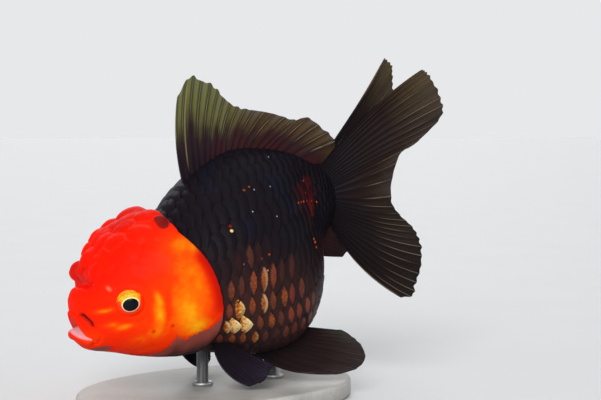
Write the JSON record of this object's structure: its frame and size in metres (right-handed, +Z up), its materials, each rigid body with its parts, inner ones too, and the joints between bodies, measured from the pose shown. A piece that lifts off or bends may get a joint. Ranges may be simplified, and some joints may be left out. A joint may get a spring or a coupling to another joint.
{
  "type": "red-cap black oranda goldfish, life-size display model on a stand",
  "caption": "Life-size fancy goldfish of the red-cap oranda kind, dark scaled body, red wen and flowing fins, nose down on a low oval stand with rods.",
  "frame": {"origin": "middle of the underside of the stand's oval base", "axes": "+Z up; the fish looks along -X with its nose down, its left side is -Y and its right side +Y"},
  "size_m": [0.1341, 0.064, 0.1209],
  "materials": {
    "head_skin": "wet gloss, red to orange, translucent lobes",
    "scaled_skin": "wet gloss blue-black with bronze scale centres",
    "fin": "dark membrane with ribbed rays, thin at the edge",
    "eye": "clear gloss, black pupil in a gold ring",
    "stand_stone": "honed pale stone",
    "stand_steel": "brushed steel"
  },
  "bodies": {
    "root": {"hood": "head_skin", "face": "head_skin", "upper_lip": "head_skin", "lower_lip": "head_skin", "gill_cover_left": "head_skin", "gill_cover_right": "head_skin", "trunk": "scaled_skin", "tail_peduncle": "scaled_skin", "dorsal_fin": "fin", "tail_upper_lobe_left": "fin", "tail_lower_lobe_left": "fin", "pectoral_fin_left": "fin", "pelvic_fin_left": "fin", "anal_fin_left": "fin", "tail_upper_lobe_right": "fin", "tail_lower_lobe_right": "fin", "pectoral_fin_right": "fin", "pelvic_fin_right": "fin", "anal_fin_right": "fin", "eye_left": "eye", "eye_right": "eye", "stand_base": "stand_stone", "stand_rod_front": "stand_steel", "stand_rod_rear": "stand_steel"}
  },
  "joints": []
}
